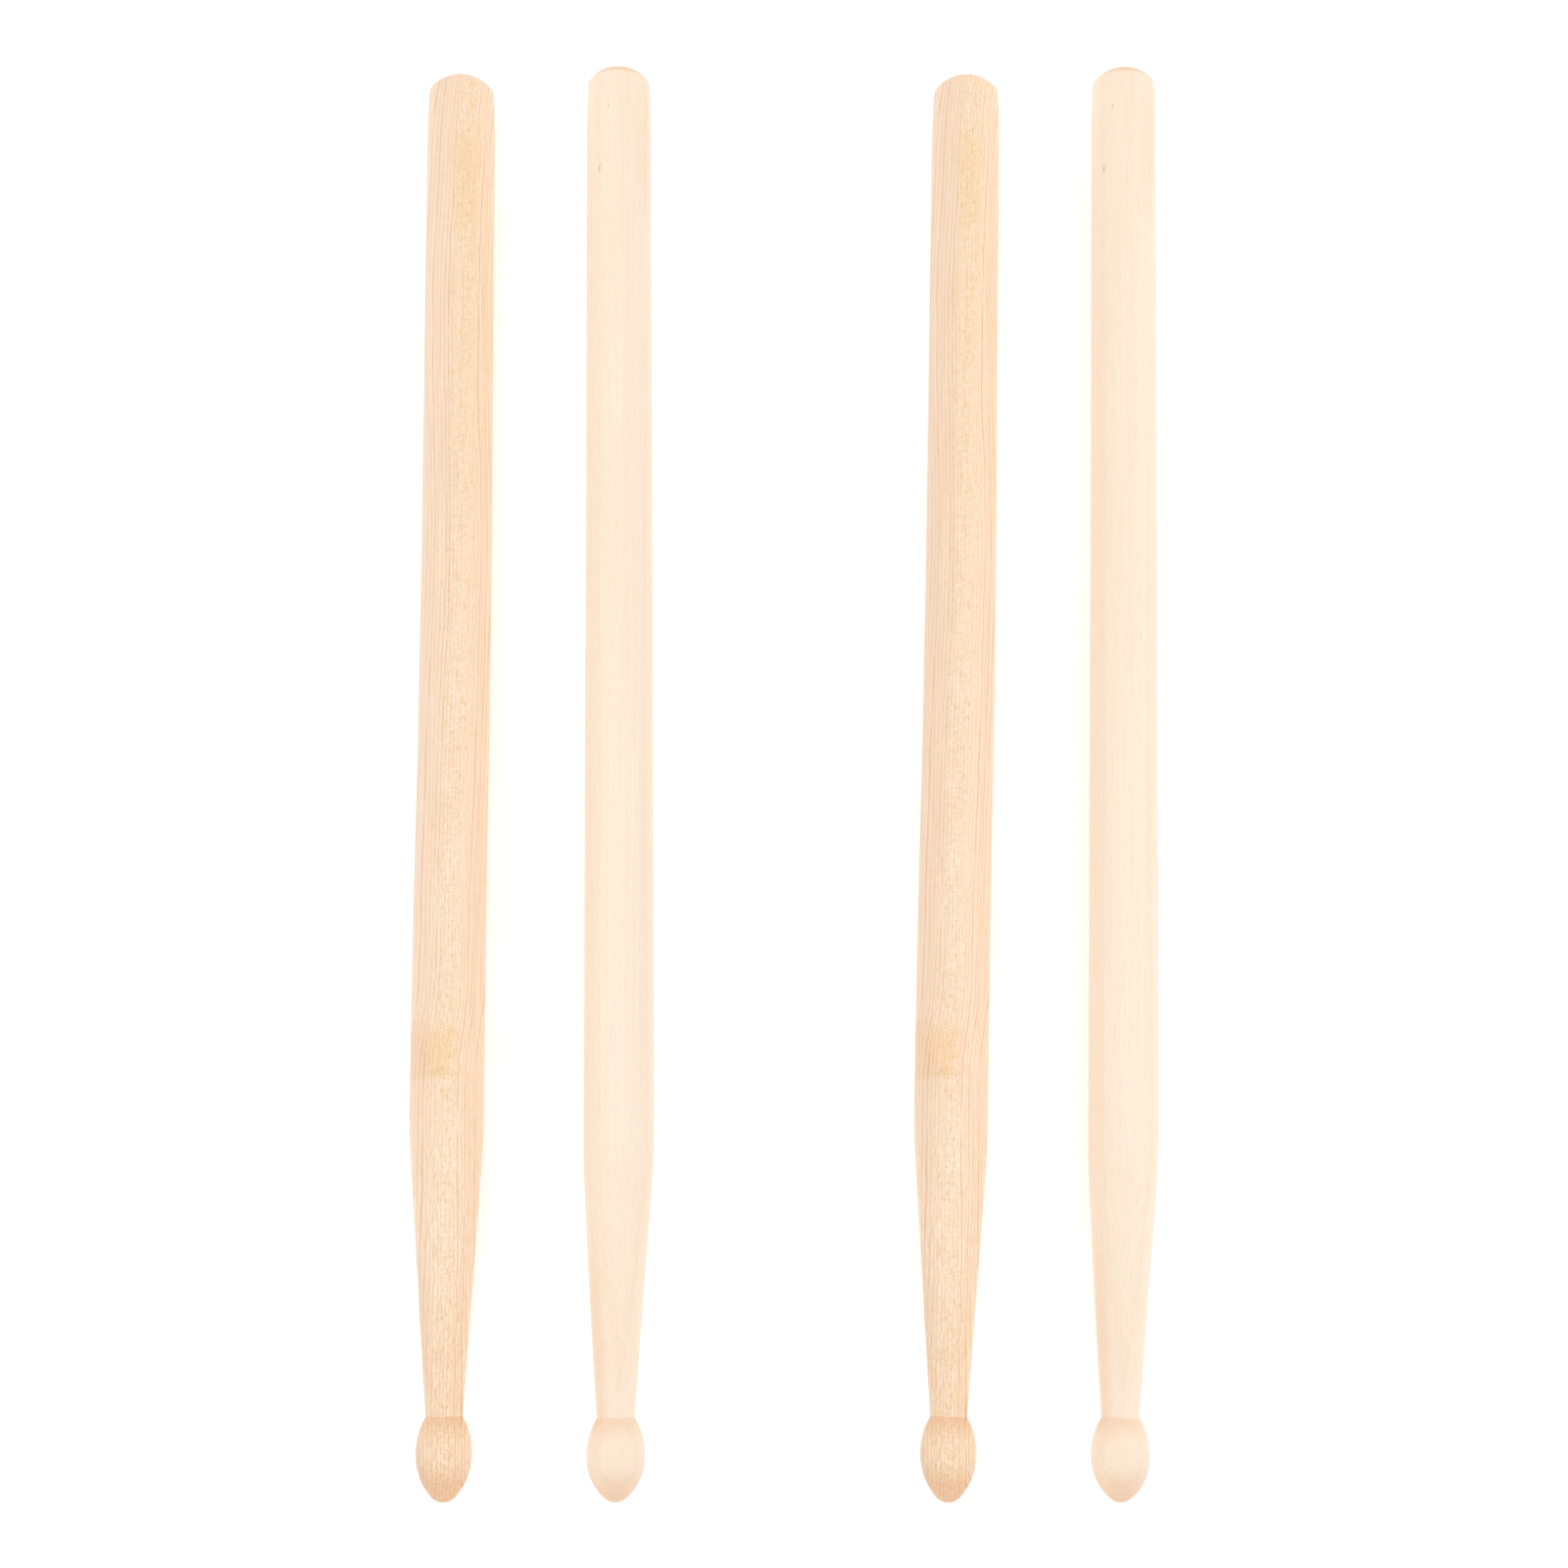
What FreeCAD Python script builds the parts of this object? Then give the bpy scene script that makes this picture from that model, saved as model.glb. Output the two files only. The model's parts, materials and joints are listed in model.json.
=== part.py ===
"""Four loose maple drumsticks, laid side by side on a flat surface as two pairs.

Each stick is turned from one dowel, so its bead, neck, taper, shaft and butt are one piece of wood.
Each pair holds a stout stick and a slim one, as unsorted plain sticks do. A stick's own frame has its
bead's nose at the origin and its axis along +Y. The sticks lie with their noses towards -Y, on z = 0.
"""

import FreeCAD, Part
import math
import os

import Sketcher

SHEET = "Dimensions"

# Driving dimensions of the two sizes of stick, in millimetres and degrees.
STICK_SIZES = {
    "stout": {
        "length": 299.0,
        "shaft_diameter": 14.5,
        "shoulder_radius": 150.0,
        "taper_angle": 4.0,
        "neck_diameter": 7.05,
        "neck_fillet": 0.35,
        "bead_diameter": 10.7,
        "bead_length": 15.8,
        "bead_belly": 9.0,
        "nose_radius": 3.2,
        "butt_ease_radius": 300.0,
        "butt_ease_length": 17.0,
        "butt_corner_radius": 1.2,
        "butt_crown_radius": 8.5,
        "butt_flat_diameter": 4.0,
    },
    "slim": {
        "length": 301.0,
        "shaft_diameter": 13.8,
        "shoulder_radius": 150.0,
        "taper_angle": 3.8,
        "neck_diameter": 7.3,
        "neck_fillet": 0.35,
        "bead_diameter": 11.25,
        "bead_length": 15.6,
        "bead_belly": 8.5,
        "nose_radius": 3.1,
        "butt_ease_radius": 500.0,
        "butt_ease_length": 14.0,
        "butt_corner_radius": 1.3,
        "butt_crown_radius": 8.3,
        "butt_flat_diameter": 4.4,
    },
}

# How the sticks lie: their size, how far across the nose is, and how far the butt leans towards -X.
STICKS = {
    "left_pair_stout_stick": {"size": "stout", "across": -64.7, "lean_angle": 1.06},
    "left_pair_slim_stick": {"size": "slim", "across": -31.8, "lean_angle": 0.78},
    "right_pair_stout_stick": {"size": "stout", "across": 30.8, "lean_angle": -1.73},
    "right_pair_slim_stick": {"size": "slim", "across": 63.8, "lean_angle": -2.02},
}

START, END, CENTRE = 1, 2, 3  # Sketcher's numbers for a curve's points
ORIGIN_POINT = (-1, 1)  # the sketch origin, as a geometry and one of its points
AXIS_LINE = -2  # the sketch's vertical axis, which is the stick's axis


def make_sheet(doc):
    """The spreadsheet of driving dimensions, one alias to a row."""
    sheet = doc.addObject("Spreadsheet::Sheet", SHEET)
    rows = []
    for size, values in STICK_SIZES.items():
        rows += [(f"{size}_{name}", value) for name, value in values.items()]
    for stick, lie in STICKS.items():
        rows += [(f"{stick}_{name}", lie[name]) for name in ("across", "lean_angle")]
    rows += [("centring_across", 0.0), ("centring_along", 0.0)]
    for row, (alias, value) in enumerate(rows, start=1):
        sheet.set(f"A{row}", alias)
        sheet.set(f"B{row}", str(value))
        sheet.setAlias(f"B{row}", alias)
    doc.recompute()
    return sheet


def arc(centre, radius, start_angle, end_angle):
    """An arc that runs anticlockwise between two angles in radians."""
    circle = Part.Circle(FreeCAD.Vector(*centre, 0), FreeCAD.Vector(0, 0, 1), radius)
    return Part.ArcOfCircle(circle, start_angle, end_angle)


def line(start, end):
    return Part.LineSegment(FreeCAD.Vector(*start, 0), FreeCAD.Vector(*end, 0))


def bead_curves(d):
    """The bead's outline: the nose's arc, the front's up to the belly and the back's to the neck."""
    bead, neck, nose = d["bead_diameter"] / 2, d["neck_diameter"] / 2, d["nose_radius"]
    # The front's circle holds the nose's circle, which is centred on the axis, and touches it.
    drop = d["bead_belly"] - nose
    front = (bead**2 - nose**2 + drop**2) / (2 * (bead - nose))
    meeting = -math.atan2(drop, front - bead)
    rise = d["bead_length"] - d["bead_belly"]
    swell = bead - neck
    back = (rise**2 + swell**2) / (2 * swell)
    return [
        arc((0, nose), nose, -math.pi / 2, meeting),
        arc((bead - front, d["bead_belly"]), front, meeting, 0),
        arc((bead - back, d["bead_belly"]), back, 0, math.asin(rise / back)),
    ]


def shaft_curves(d):
    """The neck's cone, the shoulder's arc and the shaft's straight side."""
    shaft, neck = d["shaft_diameter"] / 2, d["neck_diameter"] / 2
    taper, shoulder = math.radians(d["taper_angle"]), d["shoulder_radius"]
    corner = d["bead_length"] + (shaft - neck) / math.tan(taper)
    reach = shoulder * math.tan(taper / 2)
    cone_end = (shaft - reach * math.sin(taper), corner - reach * math.cos(taper))
    side_end = d["length"] - d["butt_ease_length"]
    return [
        line((neck, d["bead_length"]), cone_end),
        arc((shaft - shoulder, corner + reach), shoulder, -taper, 0),
        line((shaft, corner + reach), (shaft, side_end)),
    ]


def butt_curves(d):
    """The shaft's slight ease, the butt's corner, its crown, the parting cut's small flat and the axis."""
    shaft, flat, length = d["shaft_diameter"] / 2, d["butt_flat_diameter"] / 2, d["length"]
    ease, corner, crown = d["butt_ease_radius"], d["butt_corner_radius"], d["butt_crown_radius"]
    ease_centre = FreeCAD.Vector(shaft - ease, length - d["butt_ease_length"])
    crown_centre = FreeCAD.Vector(0, length - math.sqrt(crown**2 - flat**2))
    # The corner's arc touches the ease's arc and the crown from inside, which sets its centre.
    gap = crown_centre - ease_centre
    along = ((ease - corner) ** 2 - (crown - corner) ** 2 + gap.Length**2) / (2 * gap.Length)
    aside = math.sqrt((ease - corner) ** 2 - along**2)
    gap.normalize()
    corner_centre = ease_centre + gap * along + FreeCAD.Vector(-gap.y, gap.x) * aside
    from_ease, from_crown = corner_centre - ease_centre, corner_centre - crown_centre
    first, second = math.atan2(from_ease.y, from_ease.x), math.atan2(from_crown.y, from_crown.x)
    return [
        arc((ease_centre.x, ease_centre.y), ease, 0, first),
        arc((corner_centre.x, corner_centre.y), corner, first, second),
        arc((0, crown_centre.y), crown, second, math.acos(flat / crown)),
        line((flat, length), (0, length)),
        line((0, length), (0, 0)),
    ]


def constrain_profile(sketch, size):
    """Ties the half profile to the sheet. Its curves run from the nose, up the side and down the axis."""
    nose, front, back, cone, shoulder, side, ease, corner, crown, flat, axis = range(11)

    def fix(kind, *where):
        return sketch.addConstraint(Sketcher.Constraint(kind, *where))

    def drive(kind, where, value, name, formula):
        index = fix(kind, *where, value)
        sketch.renameConstraint(index, name)
        sketch.setExpression(f"Constraints.{name}", formula)

    d = STICK_SIZES[size]
    fix("Coincident", nose, START, *ORIGIN_POINT)
    fix("PointOnObject", nose, CENTRE, AXIS_LINE)
    for first, second in ((nose, front), (front, back), (cone, shoulder), (shoulder, side)):
        fix("Tangent", first, END, second, START)
    for first, second in ((side, ease), (ease, corner), (corner, crown)):
        fix("Tangent", first, END, second, START)
    for first, second in ((back, cone), (crown, flat), (flat, axis)):
        fix("Coincident", first, END, second, START)
    fix("Coincident", axis, END, *ORIGIN_POINT)
    fix("Horizontal", front, CENTRE, front, END)
    fix("Vertical", side)
    fix("Horizontal", flat)
    fix("Vertical", axis)
    fix("PointOnObject", crown, CENTRE, AXIS_LINE)

    def cell(name):
        return f"{SHEET}.{size}_{name}"

    for curve, name in (
        (nose, "nose_radius"),
        (shoulder, "shoulder_radius"),
        (ease, "butt_ease_radius"),
        (corner, "butt_corner_radius"),
        (crown, "butt_crown_radius"),
    ):
        drive("Radius", (curve,), d[name], name, cell(name))
    for curve, point, name in (
        (front, END, "bead_diameter"),
        (back, END, "neck_diameter"),
        (side, START, "shaft_diameter"),
        (flat, START, "butt_flat_diameter"),
    ):
        where = (*ORIGIN_POINT, curve, point)
        drive("DistanceX", where, d[name] / 2, name.replace("diameter", "half"), cell(name) + " / 2")
    for curve, point, name in (
        (front, CENTRE, "bead_belly"),
        (back, END, "bead_length"),
        (flat, END, "length"),
    ):
        drive("DistanceY", (*ORIGIN_POINT, curve, point), d[name], name, cell(name))
    where = (*ORIGIN_POINT, ease, START)
    straight = d["length"] - d["butt_ease_length"]
    drive("DistanceY", where, straight, "ease_start", f"{cell('length')} - {cell('butt_ease_length')}")
    leaning = math.radians(90 - d["taper_angle"])
    drive("Angle", (cone,), leaning, "cone_angle", f"(90 - {cell('taper_angle')}) * 1 deg")


def origin_plane(body, role):
    return next(f for f in body.Origin.OriginFeatures if f.Role == role)


def neck_crease(shape, size):
    """The name of the edge where the neck's cone meets the back of the bead."""
    d = STICK_SIZES[size]
    for number, edge in enumerate(shape.Edges, start=1):
        box = edge.BoundBox
        level = abs(box.YMin - d["bead_length"]) < 0.01 and box.YLength < 0.01
        if level and abs(box.XMax - d["neck_diameter"] / 2) < 0.01:
            return f"Edge{number}"
    raise RuntimeError(f"{size}: no crease between the neck and the bead")


def make_stick(doc, name, lie):
    """One stick: a revolved half profile, with the crease at its neck rounded by the turning tool."""
    size = lie["size"]
    body = doc.addObject("PartDesign::Body", name)
    body.Label = name
    sketch = body.newObject("Sketcher::SketchObject", f"{name}_profile")
    sketch.AttachmentSupport = [(origin_plane(body, "XY_Plane"), "")]
    sketch.MapMode = "FlatFace"
    d = STICK_SIZES[size]
    sketch.addGeometry(bead_curves(d) + shaft_curves(d) + butt_curves(d))
    constrain_profile(sketch, size)

    turned = body.newObject("PartDesign::Revolution", f"{name}_turned")
    turned.Profile = sketch
    turned.ReferenceAxis = (sketch, ["V_Axis"])
    turned.Angle = 360
    doc.recompute()

    crease = body.newObject("PartDesign::Fillet", f"{name}_neck_crease")
    crease.Base = (turned, [neck_crease(turned.Shape, size)])
    crease.setExpression("Radius", f"{SHEET}.{size}_neck_fillet")
    body.Tip = crease

    body.Placement.Rotation = FreeCAD.Rotation(FreeCAD.Vector(0, 0, 1), lie["lean_angle"])
    body.setExpression("Placement.Rotation.Angle", f"{SHEET}.{name}_lean_angle * 1 deg")
    body.setExpression("Placement.Base.x", f"{SHEET}.{name}_across + {SHEET}.centring_across")
    body.setExpression("Placement.Base.y", f"{SHEET}.centring_along")
    body.setExpression("Placement.Base.z", f"{SHEET}.{size}_shaft_diameter / 2")
    return body


def centre_on_origin(doc, sheet, bodies):
    """Slides all the sticks together, so that the origin is under the middle of their common box."""
    doc.recompute()
    common = FreeCAD.BoundBox()
    for body in bodies:
        common.add(body.Shape.optimalBoundingBox(False, False))
    sheet.set(sheet.getCellFromAlias("centring_across"), str(-common.Center.x))
    sheet.set(sheet.getCellFromAlias("centring_along"), str(-common.Center.y))
    doc.recompute()


def check(doc, bodies):
    """Stops if the document or any stick's solid isn't sound."""
    for item in doc.Objects:
        if "Invalid" in item.State or "Error" in item.State:
            raise RuntimeError(f"{item.Label} is in state {item.State}")
    for body in bodies:
        shape = body.Shape
        if shape.isNull() or not shape.isValid() or len(shape.Solids) != 1:
            raise RuntimeError(f"{body.Label} has no single valid solid")
        sketch = body.Group[0]
        if sketch.solve() != 0 or not sketch.FullyConstrained:
            raise RuntimeError(f"{sketch.Label} isn't fully constrained")


def main():
    doc = FreeCAD.newDocument("Drumsticks")
    sheet = make_sheet(doc)
    bodies = [make_stick(doc, name, lie) for name, lie in STICKS.items()]
    centre_on_origin(doc, sheet, bodies)
    check(doc, bodies)
    os.makedirs("parts", exist_ok=True)
    for body in bodies:
        body.Shape.exportStep(f"parts/{body.Label}.step")
        base = body.Placement.Base
        box = body.Shape.optimalBoundingBox(False, False)
        print(
            f"{body.Label}: nose at ({base.x:.5f}, {base.y:.5f}, {base.z:.5f}),"
            f" volume {body.Shape.Volume:.0f} mm3,"
            f" box {box.XMin:.2f}..{box.XMax:.2f}, {box.YMin:.2f}..{box.YMax:.2f},"
            f" {box.ZMin:.2f}..{box.ZMax:.2f}"
        )


main()
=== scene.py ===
"""The looks of four loose maple drumsticks that lie side by side on a pale table, as two pairs.

Each stick is one turned piece of wood. Its grain is a solid pattern that runs through the wood, so it shows
as lines along the shaft, as flecks where the rays lie flat and as end grain on the nose and the butt. Painted
shade darkens the bead, its nose and the crease behind it, and painted light evens out the flanks of each
stick.
"""

import json
import math

import bpy
from mathutils import Matrix, Vector


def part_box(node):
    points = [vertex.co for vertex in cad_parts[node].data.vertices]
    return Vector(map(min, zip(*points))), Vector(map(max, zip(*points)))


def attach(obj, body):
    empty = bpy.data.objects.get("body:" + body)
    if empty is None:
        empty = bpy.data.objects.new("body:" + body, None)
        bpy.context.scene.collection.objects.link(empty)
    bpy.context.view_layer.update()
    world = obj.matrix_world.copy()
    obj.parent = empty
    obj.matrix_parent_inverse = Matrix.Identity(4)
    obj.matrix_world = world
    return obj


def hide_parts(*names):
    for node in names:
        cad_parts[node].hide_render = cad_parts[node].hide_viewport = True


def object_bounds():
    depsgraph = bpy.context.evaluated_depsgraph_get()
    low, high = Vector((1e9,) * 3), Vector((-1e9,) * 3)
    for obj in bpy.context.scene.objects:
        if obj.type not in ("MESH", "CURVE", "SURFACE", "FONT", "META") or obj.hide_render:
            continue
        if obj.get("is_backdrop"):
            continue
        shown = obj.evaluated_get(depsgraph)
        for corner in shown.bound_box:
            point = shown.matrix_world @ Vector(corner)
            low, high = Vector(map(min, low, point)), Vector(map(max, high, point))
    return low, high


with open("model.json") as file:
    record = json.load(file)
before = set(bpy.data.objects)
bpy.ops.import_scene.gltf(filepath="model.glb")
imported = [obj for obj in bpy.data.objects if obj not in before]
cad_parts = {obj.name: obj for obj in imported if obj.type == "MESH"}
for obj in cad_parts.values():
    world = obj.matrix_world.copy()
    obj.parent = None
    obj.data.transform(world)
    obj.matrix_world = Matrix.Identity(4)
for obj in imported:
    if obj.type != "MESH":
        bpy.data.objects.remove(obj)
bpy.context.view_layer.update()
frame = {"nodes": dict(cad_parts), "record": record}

MM = 0.001

# The outline of each size of stick, from the nose to the butt.
SIZES = {
    "stout": {
        "length": 299.0 * MM,
        "shaft_radius": 7.25 * MM,
        "shoulder_radius": 150.0 * MM,
        "taper_angle": math.radians(4.0),
        "neck_radius": 3.525 * MM,
        "neck_fillet": 0.35 * MM,
        "bead_radius": 5.35 * MM,
        "bead_length": 15.8 * MM,
        "bead_belly": 9.0 * MM,
        "nose_radius": 3.2 * MM,
        "butt_ease": 300.0 * MM,
        "butt_ease_length": 17.0 * MM,
        "butt_corner": 1.2 * MM,
        "butt_crown": 8.5 * MM,
        "butt_flat": 2.0 * MM,
        "bow": [(0, 0.25), (38, 0.07), (83, -0.16), (180, 0.27), (299, 0.0)],
    },
    "slim": {
        "length": 301.0 * MM,
        "shaft_radius": 6.9 * MM,
        "shoulder_radius": 150.0 * MM,
        "taper_angle": math.radians(3.8),
        "neck_radius": 3.65 * MM,
        "neck_fillet": 0.35 * MM,
        "bead_radius": 5.625 * MM,
        "bead_length": 15.6 * MM,
        "bead_belly": 8.5 * MM,
        "nose_radius": 3.1 * MM,
        "butt_ease": 500.0 * MM,
        "butt_ease_length": 14.0 * MM,
        "butt_corner": 1.3 * MM,
        "butt_crown": 8.3 * MM,
        "butt_flat": 2.2 * MM,
        "bow": [(0, -0.07), (25, -0.05), (72, 0.38), (180, 0.2), (301, -0.12)],
    },
}

# How far the wood of each stick has rolled about its length, in degrees.
ROLLED = {
    "left_pair_stout_stick": -7.7,
    "left_pair_slim_stick": -3.9,
    "right_pair_stout_stick": 4.1,
    "right_pair_slim_stick": 8.0,
}

AROUND = 96  # faces around a stick
FLAT_EDGE = 0.85  # of the butt's flat spot: where the last ring lies, so that the spot's edge looks crisp
RING_GAP = 5 * MM  # between the mesh's rings along the shaft and the taper
ARC_STEP = math.radians(3.5)  # between the mesh's rings along an arc of the bead or the butt

# The wood is measured in millimetres. A cell is the size of a feature across, along and up through a stick.
WOOD_LENGTH = 300.0  # of wood that a flow curve covers
HEART = 85.0  # from the middle of a stick to the heart of its tree
SWAY_CELL = (14, 55, 14)  # slow swings of the growth rings
RIPPLE_CELL = (1.8, 8, 1.8)  # quick ones
SPACING_CELL = (2.2, 400, 2.2)  # rings that lie closer or wider apart all along a stick
LATE_START, LATE_FULL, LATE_END = 0.52, 0.82, 0.87  # shares of a year where its dark line begins and ends
PALE_YEAR, DARK_YEAR = 0.5, 1.25  # how strong the faintest and the darkest line is
STREAK_CELL = (0.6, 8, 0.6)  # stretches where a line is faint or strong
STREAKINESS = 2.2
LINE_ON_SHAFT, LINE_ON_TAPER = 0.75, 1.1  # how strong the lines are on the whole
FLECK_EDGE = (0.05, 0.15)  # levels of noise between which a ray fleck fades in
DASH_EDGE = (0.15, 0.22)  # and between which a pore's dash does
ZONE_EDGE = (0.6, 5.2)  # how far off the rays' flat line their zone starts to fade, and ends
CLOUD_CELL = (5, 26, 5)
SIDE = 7.0  # from the middle of a stick to its side, towards the heart; the reach of the painted light that lightens one flank and darkens the other
RAGGED_CELL = (0.5, 2, 0.5)  # the uneven edges of spots

# Places along a stick, from its nose, between which the wood changes.
TAPER_FROM, TAPER_TO = 80, 35  # the taper's livelier wood
NECK_FROM, NECK_TO = 55, 15  # darker towards the bead: partly the wood's tone, partly painted shade on the bead
LEAN_FROM, LEAN_TO = 100, 250  # how the rays lean
BUTT_FROM, BUTT_TO = 100, 200  # how strongly the end grain shows

# The camera, as it looks down on the sticks from the side of their beads.
CAMERA_ELEVATION = math.radians(75.7)
CAMERA_DISTANCE = 517 * MM
CAMERA_AIM = Vector((-1.885, -10.10, 7.2)) * MM
CAMERA_LENS = 58.5
CAMERA_SENSOR = 36.0

# The light: two softboxes, with their places in metres and their power in watts, and a white room.
SOFTBOXES = {"left_softbox": ((-1.17, 0.15, 0.85), 4.6), "right_softbox": ((1.17, 0.15, 0.85), 5.8)}
SOFTBOX_SIZE = 0.9
ROOM_STRENGTH = 1.0
FLOOR_HALF = 6.0
FLOOR_GLOW = 0.25  # keeps the floor plain white between the sticks


# ---- the sticks' shape ----


def arc_points(centre, radius, start, end, least=2):
    """Points along an arc as (distance from the axis, distance from the nose), without its first point."""
    steps = max(least, math.ceil(abs(end - start) / ARC_STEP))
    angles = [start + (end - start) * i / steps for i in range(1, steps + 1)]
    return [(centre[0] + radius * math.cos(a), centre[1] + radius * math.sin(a)) for a in angles]


def line_points(start, end, gap):
    """Points along a straight side, without its first point."""
    steps = max(1, math.ceil(math.dist(start, end) / gap))
    return [tuple(s + (e - s) * i / steps for s, e in zip(start, end)) for i in range(1, steps + 1)]


def crease_centre(size, behind, back):
    """The centre of the small fillet between the bead's back, an arc about behind, and the taper."""
    taper, fillet = size["taper_angle"], size["neck_fillet"]
    along, outward = Vector((math.sin(taper), math.cos(taper))), Vector((math.cos(taper), -math.sin(taper)))
    start = Vector((size["neck_radius"], size["bead_length"])) + outward * fillet
    away = start - behind
    slide = -away.dot(along) + math.sqrt(away.dot(along) ** 2 - away.length_squared + (back + fillet) ** 2)
    return start + along * slide


def corner_centre(ease_centre, to_ease, crown_centre, to_crown):
    """The centre of the butt's corner, whose arc touches the ease's arc and the crown's from inside."""
    gap = crown_centre - ease_centre
    share = (to_ease**2 - to_crown**2 + gap.length_squared) / (2 * gap.length)
    along = gap.normalized()
    return ease_centre + along * share + Vector((-along.y, along.x)) * math.sqrt(to_ease**2 - share**2)


def outline(size):
    """The half outline of a stick from the tip of the nose to the rim of the butt's flat spot."""
    bead, neck, nose = size["bead_radius"], size["neck_radius"], size["nose_radius"]
    drop = size["bead_belly"] - nose
    front = (bead**2 - nose**2 + drop**2) / (2 * (bead - nose))
    meeting = -math.atan2(drop, front - bead)
    points = arc_points((0, nose), nose, -math.pi / 2, meeting)
    points += arc_points((bead - front, size["bead_belly"]), front, meeting, 0)

    shaft, taper, shoulder = size["shaft_radius"], size["taper_angle"], size["shoulder_radius"]
    rise, swell = size["bead_length"] - size["bead_belly"], bead - neck
    back = (rise**2 + swell**2) / (2 * swell)
    behind = Vector((bead - back, size["bead_belly"]))
    crease = crease_centre(size, behind, back)
    turn = math.atan2(crease.y - behind.y, crease.x - behind.x)
    points += arc_points(behind, back, 0, turn)
    points += arc_points(crease, size["neck_fillet"], turn - math.pi, -math.pi - taper)

    corner = size["bead_length"] + (shaft - neck) / math.tan(taper)
    reach = shoulder * math.tan(taper / 2)
    cone_end = (shaft - reach * math.sin(taper), corner - reach * math.cos(taper))
    points += line_points(points[-1], cone_end, RING_GAP)
    points += arc_points((shaft - shoulder, corner + reach), shoulder, -taper, 0)

    ease, turn, crown, flat = size["butt_ease"], size["butt_corner"], size["butt_crown"], size["butt_flat"]
    ease_centre = Vector((shaft - ease, size["length"] - size["butt_ease_length"]))
    crown_centre = Vector((0, size["length"] - math.sqrt(crown**2 - flat**2)))
    centre = corner_centre(ease_centre, ease - turn, crown_centre, crown - turn)
    first = math.atan2(*reversed(centre - ease_centre))
    second = math.atan2(*reversed(centre - crown_centre))
    points += line_points(points[-1], (shaft, ease_centre.y), RING_GAP)
    points += arc_points(ease_centre, ease, 0, first, least=6)
    points += arc_points(centre, turn, first, second)
    points += arc_points(crown_centre, crown, second, math.acos(flat / crown))
    points.append((flat * FLAT_EDGE, size["length"]))
    return points


def bow(size, along):
    """How far the wood has bowed sideways at a distance from the nose."""
    knots = [(place * MM, shift * MM) for place, shift in size["bow"]]
    for (start, low), (end, high) in zip(knots, knots[1:]):
        share = min(max((along - start) / (end - start), 0.0), 1.0)
        if along <= end:
            break
    return low + (high - low) * share * share * (3 - 2 * share)


def stick_mesh(name, size):
    """A turned stick about its own +Y axis, with its nose at the origin."""
    points = outline(size)
    vertices = [(0.0, 0.0, 0.0)]
    for radius, along in points:
        for i in range(AROUND):
            a = 2 * math.pi * i / AROUND
            vertices.append((radius * math.cos(a), along, radius * math.sin(a)))
    vertices.append((0.0, size["length"], 0.0))
    last = len(vertices) - 1
    faces = []
    for i in range(AROUND):
        j = (i + 1) % AROUND
        faces.append((0, 1 + i, 1 + j))
        for ring in range(len(points) - 1):
            low, high = 1 + ring * AROUND, 1 + (ring + 1) * AROUND
            faces.append((low + i, high + i, high + j, low + j))
        rim = 1 + (len(points) - 1) * AROUND
        faces.append((rim + i, last, rim + j))
    mesh = bpy.data.meshes.new(name)
    mesh.from_pydata(vertices, [], faces)
    mesh.polygons.foreach_set("use_smooth", [True] * len(faces))
    mesh.update()
    return mesh


def end_grain_of(mesh):
    """How squarely the surface cuts the grain at each vertex: 0 along a side, 1 across an end."""
    return [abs(vertex.normal.y) for vertex in mesh.vertices]


def store(mesh, name, kind, key, values):
    """Keeps a value at each vertex for the material to read."""
    attribute = mesh.attributes.new(name, kind, "POINT")
    attribute.data.foreach_set(key, values)


def make_stick(node, size, material):
    """Builds one stick where its CAD node lies, with its wood rolled about its length."""
    mount = next(m for m in frame["record"]["mounts"] if m["name"] == node.replace("_stick", "_shaft"))
    axis, middle = Vector(mount["axis"]), Vector(mount["pos_m"])
    nose_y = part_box(node)[0].y
    nose = middle + axis * ((nose_y - middle.y) / axis.y)
    across = axis.cross(Vector((0, 0, 1)))

    mesh = stick_mesh(node + "_wood", size)
    store(mesh, "end_grain", "FLOAT", "value", end_grain_of(mesh))
    turned = Matrix.Rotation(math.radians(ROLLED[node]), 4, "Y")
    in_wood = [coordinate / MM for v in mesh.vertices for coordinate in turned @ v.co]
    store(mesh, "wood", "FLOAT_VECTOR", "vector", in_wood)
    for vertex in mesh.vertices:
        vertex.co.x += bow(size, vertex.co.y)
    mesh.materials.append(material)

    piece = bpy.data.objects.new(node + "_wood", mesh)
    bpy.context.scene.collection.objects.link(piece)
    lie = Matrix((across, axis, Vector((0, 0, 1)))).transposed().to_4x4()
    piece.matrix_world = Matrix.Translation(nose) @ lie
    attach(piece, node)
    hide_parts(node)


# ---- materials ----


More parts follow.
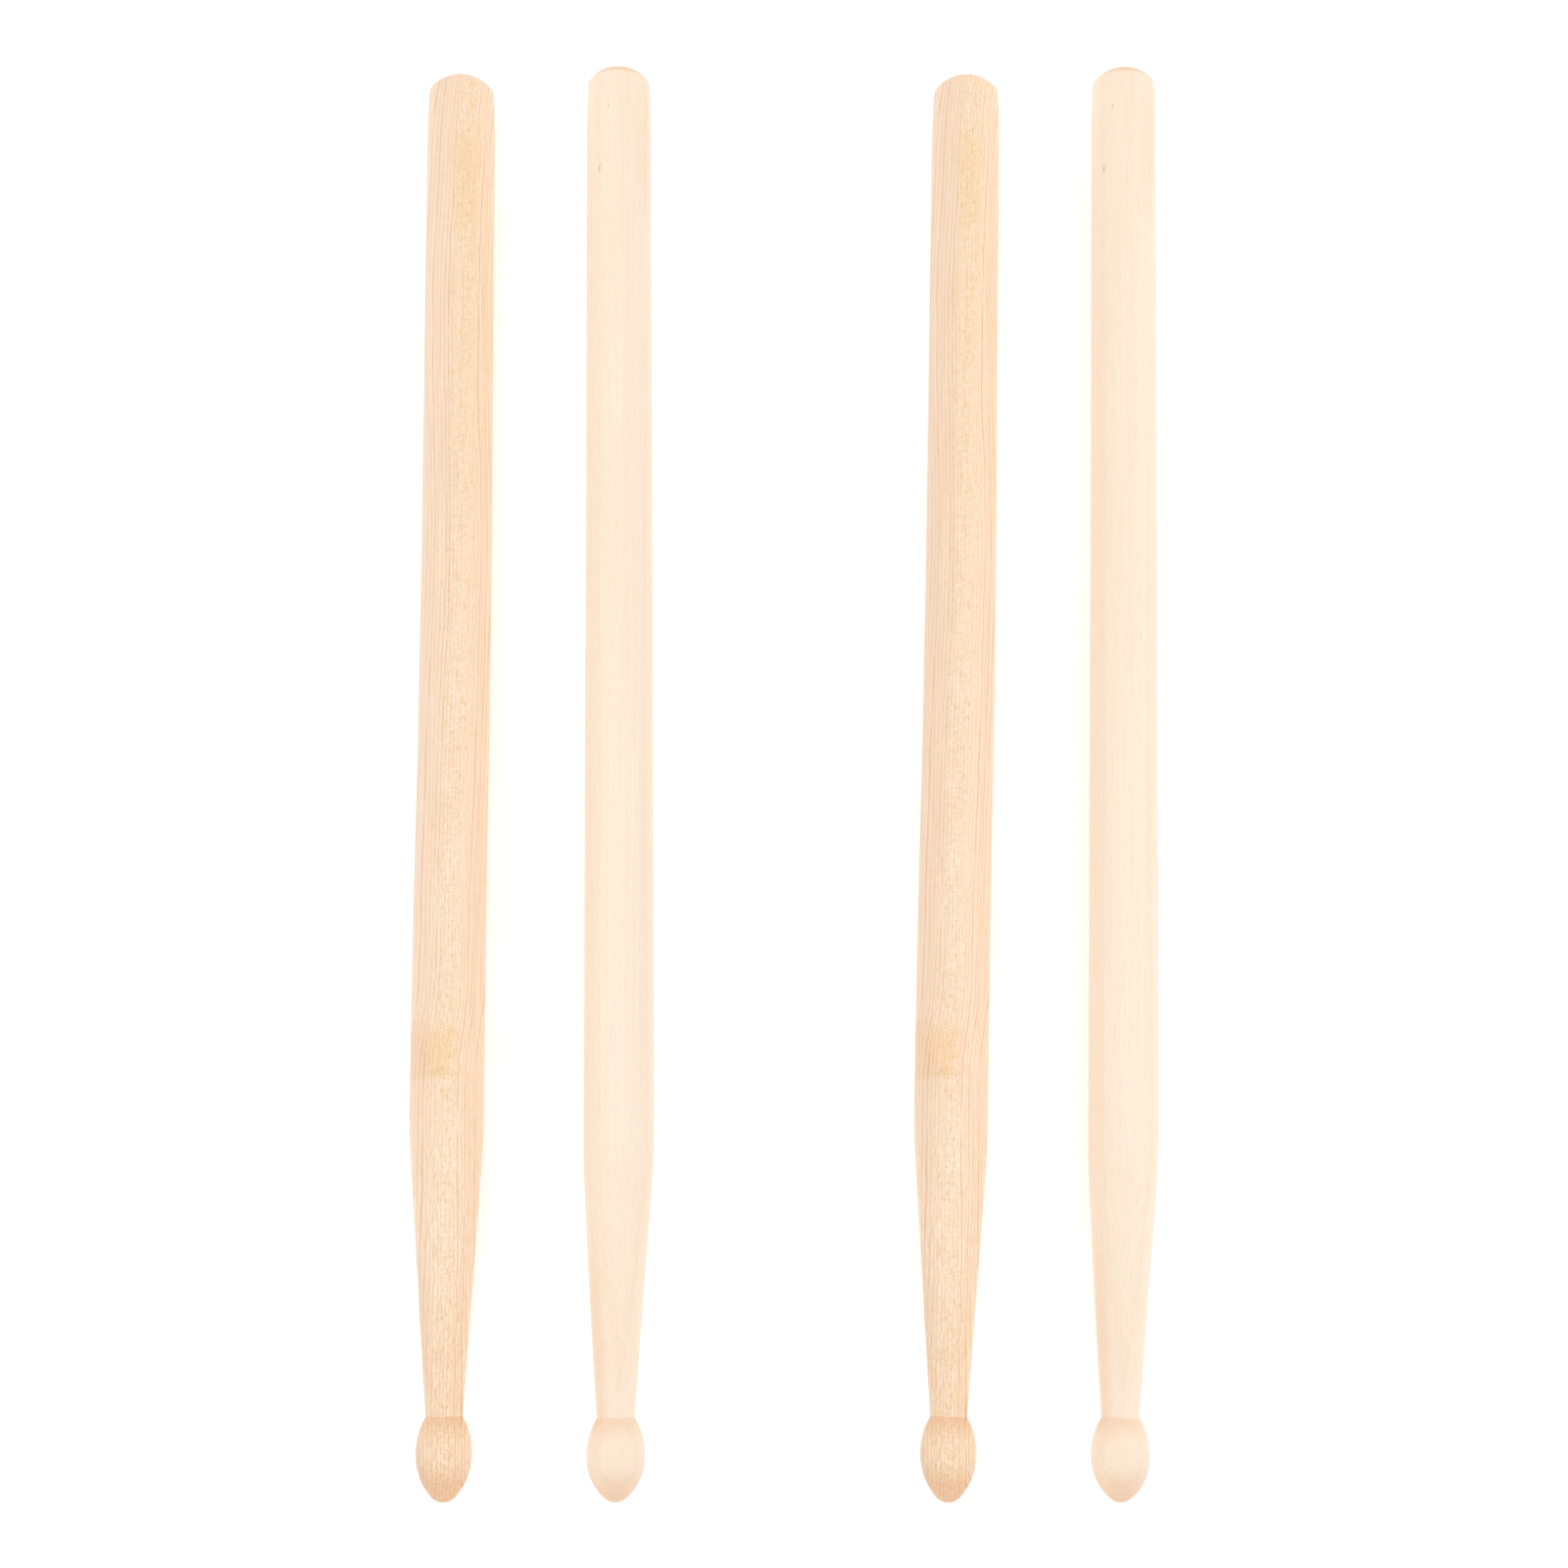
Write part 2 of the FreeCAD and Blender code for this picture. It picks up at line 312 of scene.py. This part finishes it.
class Graph:
    """A material's nodes, added and wired as they are written."""

    def __init__(self, name):
        self.material = bpy.data.materials.new(name)
        self.material.use_nodes = True
        self.tree = self.material.node_tree
        self.tree.nodes.clear()

    def node(self, kind, inputs=None, **settings):
        made = self.tree.nodes.new("ShaderNode" + kind)
        for key, value in settings.items():
            setattr(made, key, value)
        for key, value in (inputs or {}).items():
            self.feed(made.inputs[key], value)
        return made

    def feed(self, socket, value):
        if isinstance(value, bpy.types.NodeSocket):
            self.tree.links.new(value, socket)
        else:
            socket.default_value = value

    def math(self, operation, *values, clamp=False):
        made = self.node("Math", operation=operation, use_clamp=clamp)
        for socket, value in zip(made.inputs, values):
            self.feed(socket, value)
        return made.outputs[0]

    def attribute(self, name, output):
        return self.node("Attribute", attribute_name=name).outputs[output]

    def split(self, vector):
        return self.node("SeparateXYZ", {"Vector": vector}).outputs

    def join(self, x, y, z):
        return self.node("CombineXYZ", {"X": x, "Y": y, "Z": z}).outputs[0]

    def stretched(self, vector, cells, shift=(0, 0, 0)):
        """The vector in cells of the given size along each axis."""
        scale = tuple(1 / c for c in cells)
        return self.node("Mapping", {"Vector": vector, "Scale": scale, "Location": shift}).outputs[0]

    def noise(self, vector, detail=2.0, roughness=0.5):
        """Noise about 0, from roughly -0.5 to 0.5."""
        inputs = {"Vector": vector, "Scale": 1.0, "Detail": detail, "Roughness": roughness}
        return self.math("SUBTRACT", self.node("TexNoise", inputs).outputs[0], 0.5)

    def ramp(self, value, low, high, to_low=0.0, to_high=1.0):
        """A smooth step from to_low, where value is low, to to_high, where it is high."""
        inputs = {"Value": value, "From Min": low, "From Max": high, "To Min": to_low, "To Max": to_high}
        return self.node("MapRange", inputs, interpolation_type="SMOOTHSTEP").outputs[0]

    def turned(self, vector, angle):
        """The vector turned about the length of the stick."""
        inputs = {"Vector": vector, "Angle": angle}
        return self.node("VectorRotate", inputs, rotation_type="Y_AXIS").outputs[0]

    def tinted(self, colour, tint, amount):
        """The colour times the tint where the amount is 1, and unchanged where it is 0."""
        change = tuple(t - 1 for t in tint)
        made = self.node("VectorMath", {0: change, "Scale": amount}, operation="SCALE").outputs[0]
        made = self.node("VectorMath", {0: made, 1: (1.0, 1.0, 1.0)}, operation="ADD").outputs[0]
        return self.node("VectorMath", {0: made, 1: colour}, operation="MULTIPLY").outputs[0]

    def spot(self, vector, place, reach):
        """A soft spot with a ragged edge: 1 at its place, and 0 beyond its reach."""
        offset = self.node("VectorMath", {0: vector, 1: place}, operation="SUBTRACT").outputs[0]
        offset = self.node("VectorMath", {0: offset, 1: reach}, operation="DIVIDE").outputs[0]
        far = self.node("VectorMath", {0: offset}, operation="LENGTH").outputs["Value"]
        ragged = self.math("MULTIPLY_ADD", self.noise(self.stretched(vector, RAGGED_CELL), 2.0), 0.6, far)
        return self.ramp(ragged, 1.0, 0.3)

    def both_sides(self, noise, edge):
        """Where the noise is high and where it is low: each fades in between the two levels of the edge."""
        low, high = edge
        return self.ramp(noise, low, high), self.ramp(noise, -low, -high)

    def mix(self, share, first, second):
        made = self.node("Mix", data_type="RGBA")
        self.feed(made.inputs["Factor"], share)
        self.feed(made.inputs[6], first)
        self.feed(made.inputs[7], second)
        return made.outputs[2]

    def curve(self, value, points):
        """A smooth curve through the given points, each from 0 to 1 both ways."""
        made = self.node("FloatCurve", {"Value": value})
        line = made.mapping.curves[0]
        for place, height in points[1:-1]:
            line.points.new(place, height)
        line.points[0].location, line.points[-1].location = points[0], points[-1]
        made.mapping.update()
        return made.outputs[0]


def growth_lines(g, wood, look):
    """Growth rings: shells about the heart, far out to one side, which show as lines along the stick."""
    turned = g.turned(wood, look["ring_turn"])
    x, y, z = g.split(turned)
    depth = g.node("VectorMath", {0: g.join(g.math("SUBTRACT", x, HEART), 0.0, z)}, operation="LENGTH")
    depth = depth.outputs["Value"]
    flow = g.curve(g.math("DIVIDE", y, WOOD_LENGTH), look["flow"])
    for value, reach in (
        (flow, look["flow_reach"]),
        (g.noise(g.stretched(turned, SWAY_CELL), 1.0), look["sway"]),
        (g.noise(g.stretched(turned, RIPPLE_CELL), 1.0), look["ripple"]),
        (g.noise(g.stretched(turned, SPACING_CELL), 0.0), look["uneven"]),
    ):
        depth = g.math("MULTIPLY_ADD", value, reach, depth)
    # Each year ends in a dark line of late wood. Some years' lines are stronger, and each is faint in places.
    rings = g.math("DIVIDE", depth, look["ring_gap"])
    phase = g.math("FRACT", rings)
    late = g.math("MULTIPLY", g.ramp(phase, LATE_START, LATE_FULL), g.ramp(phase, 1.0, LATE_END))
    year = g.node("TexWhiteNoise", {"W": g.math("FLOOR", rings)}, noise_dimensions="1D").outputs[0]
    strength = g.ramp(year, 0.1, 1.0, PALE_YEAR, DARK_YEAR)
    streaky = g.noise(g.stretched(turned, STREAK_CELL), 2.0)
    mean = g.ramp(y, TAPER_FROM, TAPER_TO, LINE_ON_SHAFT, LINE_ON_TAPER)
    patchy = g.math("MULTIPLY_ADD", streaky, STREAKINESS, mean, clamp=True)
    return g.math("MULTIPLY", g.math("MULTIPLY", late, strength), patchy)


def ray_flecks(g, wood, look):
    """Rays: ribbons that lie across the rings, so they show as rungs where the surface follows them.

    Returns their noise, and the zone along the stick where they show.
    """
    x, y, z = g.split(g.turned(wood, look["ray_turn"]))
    lean = g.ramp(y, LEAN_FROM, LEAN_TO, look["ray_lean"], look["ray_lean_at_butt"])
    height = g.math("SUBTRACT", z, g.math("MULTIPLY", x, lean))
    flecks = g.noise(g.stretched(g.join(x, y, height), look["ray_cell"]), 1.0)
    off_centre = g.math("ABSOLUTE", g.math("MULTIPLY_ADD", z, lean, x))
    return flecks, g.ramp(off_centre, *ZONE_EDGE, 1.0, 0.0)


def maple(name, look):
    """Maple, as a pattern in the solid wood that the surface of the stick cuts through, with painted shade
    and painted light in some of its tints.
    """
    g = Graph(name)
    wood = g.attribute("wood", "Vector")
    x, y, z = g.split(wood)
    line = growth_lines(g, wood, look)
    flecks, zone = ray_flecks(g, wood, look)
    pale_fleck, gold_fleck = (g.math("MULTIPLY", side, zone) for side in g.both_sides(flecks, FLECK_EDGE))
    flank_line = g.math("MULTIPLY", line, g.math("MULTIPLY_ADD", zone, -look["zone_hides"], 1.0))

    # Pores show as short dark dashes and pale ones, and crowd together where the rays lie flat.
    pores = g.noise(g.stretched(wood, look["pore_cell"]), 0.0)
    crowd = g.math("MULTIPLY_ADD", zone, 0.5, 0.6)
    crowd = g.math("MULTIPLY", crowd, g.ramp(y, TAPER_FROM, TAPER_TO, 1.0, look["pores_near_bead"]))
    dark_dash, pale_dash = (g.math("MULTIPLY", side, crowd) for side in g.both_sides(pores, DASH_EDGE))

    fibre = g.noise(g.stretched(wood, look["fibre_cell"], (3, 0, 5)), 1.5)
    fibre = g.math("MULTIPLY", fibre, g.ramp(y, TAPER_FROM, TAPER_TO, 1.0, look["fibre_near_bead"]))
    cloud = g.noise(g.stretched(wood, CLOUD_CELL, (1, 8, 2)), 2.0)
    glow = g.math("MULTIPLY", zone, g.math("MULTIPLY_ADD", cloud, 2.0, 0.8))
    # Darker towards the bead: partly the wood's tone, partly painted shade on the bead, which faces away from
    # the light.
    near_bead_tone_and_shade = g.math("MULTIPLY", g.ramp(y, NECK_FROM, NECK_TO), g.math("MULTIPLY_ADD", zone, -0.6, 1.0))
    # End grain is darker where the surface cuts across the grain; its tint also holds painted shade on the
    # nose and in the crease behind the bead.
    end = g.ramp(g.attribute("end_grain", "Fac"), look["end_from"], look["end_to"])
    end = g.math("MULTIPLY", end, g.ramp(y, BUTT_FROM, BUTT_TO, 1.0, look["butt_end"]))

    colour = look["tone"]
    for amount, tint in (
        # painted light: lightens the flank that faces the neighbouring stick and darkens the other, against
        # the neighbour's shade
        (g.math("DIVIDE", x, SIDE), look["painted_side_light"]),
        (cloud, look["cloud"]),
        (glow, look["glow"]),
        (flank_line, look["line"]),
        (fibre, look["fibre"]),
        (pale_fleck, look["pale_fleck"]),
        (gold_fleck, look["gold_fleck"]),
        (dark_dash, look["dark_dash"]),
        (pale_dash, look["pale_dash"]),
        # partly painted shade on the bead
        (near_bead_tone_and_shade, look["near_bead_tone_and_shade"]),
        # end grain, and painted shade on the nose and in the crease behind the bead
        (end, look["end"]),
    ):
        colour = g.tinted(colour, tint, amount)
    for place, reach, tint in look["spots"]:
        colour = g.tinted(colour, tint, g.spot(wood, place, reach))

    relief = 0.0
    for feature, height in ((dark_dash, -0.8), (line, -0.6), (fibre, 0.5)):
        relief = g.math("MULTIPLY_ADD", feature, height, relief)
    bump = g.node("Bump", {"Strength": 0.35, "Distance": 0.03 * MM, "Height": relief})
    roughness = g.math("MULTIPLY_ADD", fibre, 0.25, g.math("MULTIPLY_ADD", end, 0.15, look["roughness"]))
    shader = g.node("BsdfPrincipled", {"Base Color": colour, "Roughness": roughness})
    g.feed(shader.inputs["Normal"], bump.outputs[0])
    shader.inputs["IOR"].default_value = 1.45
    shader.inputs["Specular IOR Level"].default_value = 0.35
    output = g.node("OutputMaterial")
    g.feed(output.inputs["Surface"], shader.outputs[0])
    return g.material


# How the two woods look. A tint multiplies the tone where its feature is at full strength.
RINGED = {
    "tone": (0.785, 0.600, 0.442),
    # painted light: one flank lighter, the other darker
    "painted_side_light": (1.045, 1.04, 1.03),
    "cloud": (0.97, 0.93, 0.88),
    "glow": (1.0, 0.995, 0.95),
    # Growth rings: how they lie, wander and show.
    "ring_turn": math.radians(0),
    "flow": [
        (0, 0.30),
        (0.2, 0.23),
        (0.26, 0.23),
        (0.33, 0.45),
        (0.5, 0.52),
        (0.63, 0.59),
        (0.78, 0.5),
        (0.87, 0.5),
        (1, 0.95),
    ],
    "flow_reach": 9.0,
    "sway": 1.5,
    "ripple": 0.35,
    "uneven": 0.8,
    "ring_gap": 0.72,
    "line": (0.86, 0.74, 0.66),
    "zone_hides": 0.1,
    # Rays.
    "ray_turn": math.radians(0),
    "ray_cell": (1.2, 0.38, 0.14),
    "ray_lean": 0.0,
    "ray_lean_at_butt": -0.2,
    "pale_fleck": (1.02, 1.075, 1.18),
    "gold_fleck": (0.975, 0.925, 0.82),
    # Fibres and pores.
    "fibre": (0.83, 0.73, 0.62),
    "fibre_cell": (0.18, 18, 0.18),
    "fibre_near_bead": 2.1,
    "pore_cell": (0.17, 1.5, 0.17),
    "pores_near_bead": 1.1,
    "dark_dash": (0.90, 0.86, 0.73),
    "pale_dash": (1.03, 1.055, 1.15),
    # Darker near the bead and where the surface cuts across the grain: partly the wood's tone and its end
    # grain, partly painted shade on the bead, its nose and the crease behind it.
    "near_bead_tone_and_shade": (0.98, 0.945, 0.905),
    "end": (0.93, 0.815, 0.73),
    "butt_end": 0.3,
    "end_from": 0.10,
    "end_to": 0.55,
    # Spots: where each is, how far it reaches and its tint.
    "spots": [
        ((-1.6, 85, 7), (4.8, 7.5, 5), (0.995, 0.93, 0.82)),  # the golden patch at the shoulder
        ((-5.5, 86, 2.5), (5.5, 9, 8), (0.98, 0.91, 0.86)),  # how it carries on down the side
        ((-2.5, 80.6, 5), (9, 1.6, 8), (0.975, 0.94, 0.90)),  # the faint line across beside it
        ((1.2, 271, 7), (4, 18, 5), (0.985, 0.955, 0.88)),  # a golden patch near the butt
        ((1.5, 232, 5), (6, 45, 8), (0.995, 0.98, 0.945)),  # a fainter, longer one on the shaft
        ((-5.0, 30, 0), (4.5, 26, 6), (0.945, 0.93, 0.91)),  # the taper's darker side
        ((-0.4, 56, 6), (5, 28, 6), (1.025, 1.06, 1.09)),  # a pale stretch of the taper
        ((-5.4, 4, 1), (3.2, 9, 9), (0.91, 0.89, 0.91)),  # painted shade on the bead's sides, where the light falls off
        ((5.4, 4, 1), (3.2, 9, 9), (0.935, 0.935, 0.955)),
        ((-7.6, 180, 1), (3.0, 150, 9), (0.97, 0.975, 0.99)),  # painted shade along the shaft's side, darker at its edge
        ((0.0, 118, 7), (4.5, 26, 5), (1.005, 1.025, 1.045)),  # a pale stretch of the shaft
    ],
    "roughness": 0.45,
}
PLAIN = dict(
    RINGED,
    tone=(0.791, 0.661, 0.526),
    # painted light: one flank lighter, the other darker
    painted_side_light=(0.955, 0.96, 0.965),
    cloud=(0.995, 0.98, 0.955),
    glow=(1.0, 1.003, 1.025),
    ring_turn=math.radians(84),
    flow=[(0, 0.5), (0.5, 0.6), (1, 0.5)],
    ring_gap=2.6,
    line=(0.99, 0.96, 0.93),
    zone_hides=0.0,
    ray_turn=math.radians(84),
    ray_lean=0.0,
    ray_lean_at_butt=0.0,
    pale_fleck=(1.0, 1.01, 1.02),
    gold_fleck=(0.99, 0.98, 0.95),
    fibre=(0.93, 0.86, 0.76),
    fibre_cell=(0.2, 40, 0.2),
    fibre_near_bead=1.2,
    pore_cell=(0.15, 4.0, 0.15),
    pores_near_bead=1.0,
    dark_dash=(0.95, 0.92, 0.85),
    pale_dash=(1.01, 1.025, 1.07),
    # Darker near the bead and on the end grain: partly the wood's own, partly painted shade on the bead, its
    # nose and the crease behind it.
    near_bead_tone_and_shade=(0.995, 0.98, 0.97),
    end=(0.95, 0.815, 0.73),
    end_to=0.75,
    butt_end=1.2,
    spots=[
        ((-4.2, 275.0, 5.5), (0.42, 1.1, 0.6), (0.86, 0.74, 0.65)),  # the mineral speck on the shaft
        ((-3.85, 275.9, 5.7), (0.4, 0.5, 0.6), (0.93, 0.86, 0.80)),  # its short second arm
        ((-2.3, 289.4, 6.5), (0.3, 0.7, 0.3), (0.87, 0.77, 0.70)),  # the smaller speck near the butt
        ((-3.4, 32, 2), (2.6, 36, 4), (0.98, 0.92, 0.86)),  # the taper's darker side
        ((0.5, 80, 7), (5, 28, 6), (1.0, 1.005, 1.02)),  # pale stretches of the shoulder and the shaft
        ((0.3, 115, 7), (5, 75, 6), (1.0, 1.015, 1.03)),
        ((5.2, 280, 3), (2.6, 24, 6), (0.98, 0.945, 0.92)),  # the shaft's darker side near the butt
        ((-5.6, 4, 1), (3.2, 9, 9), (0.95, 0.94, 0.95)),  # painted shade on the bead's sides, where the light falls off
        ((5.6, 4, 1), (3.2, 9, 9), (0.95, 0.955, 0.98)),
    ],
)


def table_top():
    """A wide plain floor at the height that the sticks lie on."""
    g = Graph("table_top")
    place = g.node("TexCoord").outputs["Object"]
    mottle = g.noise(g.stretched(place, (0.15, 0.15, 0.15)), 3.0)
    colour = g.mix(g.math("ADD", mottle, 0.5, clamp=True), (0.86, 0.86, 0.86, 1), (0.88, 0.88, 0.88, 1))
    shader = g.node("BsdfPrincipled", {"Base Color": colour, "Roughness": 0.9})
    shader.inputs["Specular IOR Level"].default_value = 0.1
    shader.inputs["Emission Color"].default_value = (1, 1, 1, 1)
    shader.inputs["Emission Strength"].default_value = FLOOR_GLOW
    output = g.node("OutputMaterial")
    g.feed(output.inputs["Surface"], shader.outputs[0])
    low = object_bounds()[0].z
    corners = [(x * FLOOR_HALF, y * FLOOR_HALF, low) for x, y in ((-1, -1), (1, -1), (1, 1), (-1, 1))]
    mesh = bpy.data.meshes.new("table_top")
    mesh.from_pydata(corners, [], [(0, 1, 2, 3)])
    mesh.materials.append(g.material)
    floor = bpy.data.objects.new("table_top", mesh)
    bpy.context.scene.collection.objects.link(floor)
    floor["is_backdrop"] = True


def add_camera():
    """The camera, which looks at the point that CAMERA_AIM names."""
    data = bpy.data.cameras.new("camera")
    data.lens = CAMERA_LENS
    data.sensor_width = CAMERA_SENSOR
    data.clip_start, data.clip_end = 0.01, 50
    camera = bpy.data.objects.new("camera", data)
    bpy.context.scene.collection.objects.link(camera)
    back = Vector((0, -math.cos(CAMERA_ELEVATION), math.sin(CAMERA_ELEVATION)))
    camera.location = CAMERA_AIM + back * CAMERA_DISTANCE
    camera.rotation_mode = "QUATERNION"
    camera.rotation_quaternion = (-back).to_track_quat("-Z", "Y")
    bpy.context.scene.camera = camera


def add_light(name, place, power):
    """A square softbox that shines on the middle of the set."""
    data = bpy.data.lights.new(name, "AREA")
    data.shape, data.size, data.energy = "SQUARE", SOFTBOX_SIZE, power
    light = bpy.data.objects.new(name, data)
    bpy.context.scene.collection.objects.link(light)
    light.location = place
    light.rotation_mode = "QUATERNION"
    light.rotation_quaternion = (-Vector(place)).to_track_quat("-Z", "Y")


def add_surroundings():
    """The white room and its softboxes."""
    world = bpy.data.worlds.new("studio")
    world.use_nodes = True
    background = world.node_tree.nodes["Background"]
    background.inputs["Color"].default_value = (1, 1, 1, 1)
    background.inputs["Strength"].default_value = ROOM_STRENGTH
    bpy.context.scene.world = world
    for name, (place, power) in SOFTBOXES.items():
        add_light(name, place, power)
    bpy.context.scene.view_settings.view_transform = "Standard"


def main():
    looks = {"stout": ("ringed_maple", RINGED), "slim": ("plain_maple", PLAIN)}
    made = {kind: maple(slot, look) for kind, (slot, look) in looks.items()}
    for node in sorted(frame["nodes"]):
        kind = "stout" if "stout" in node else "slim"
        make_stick(node, SIZES[kind], made[kind])
    table_top()
    add_camera()
    add_surroundings()


main()
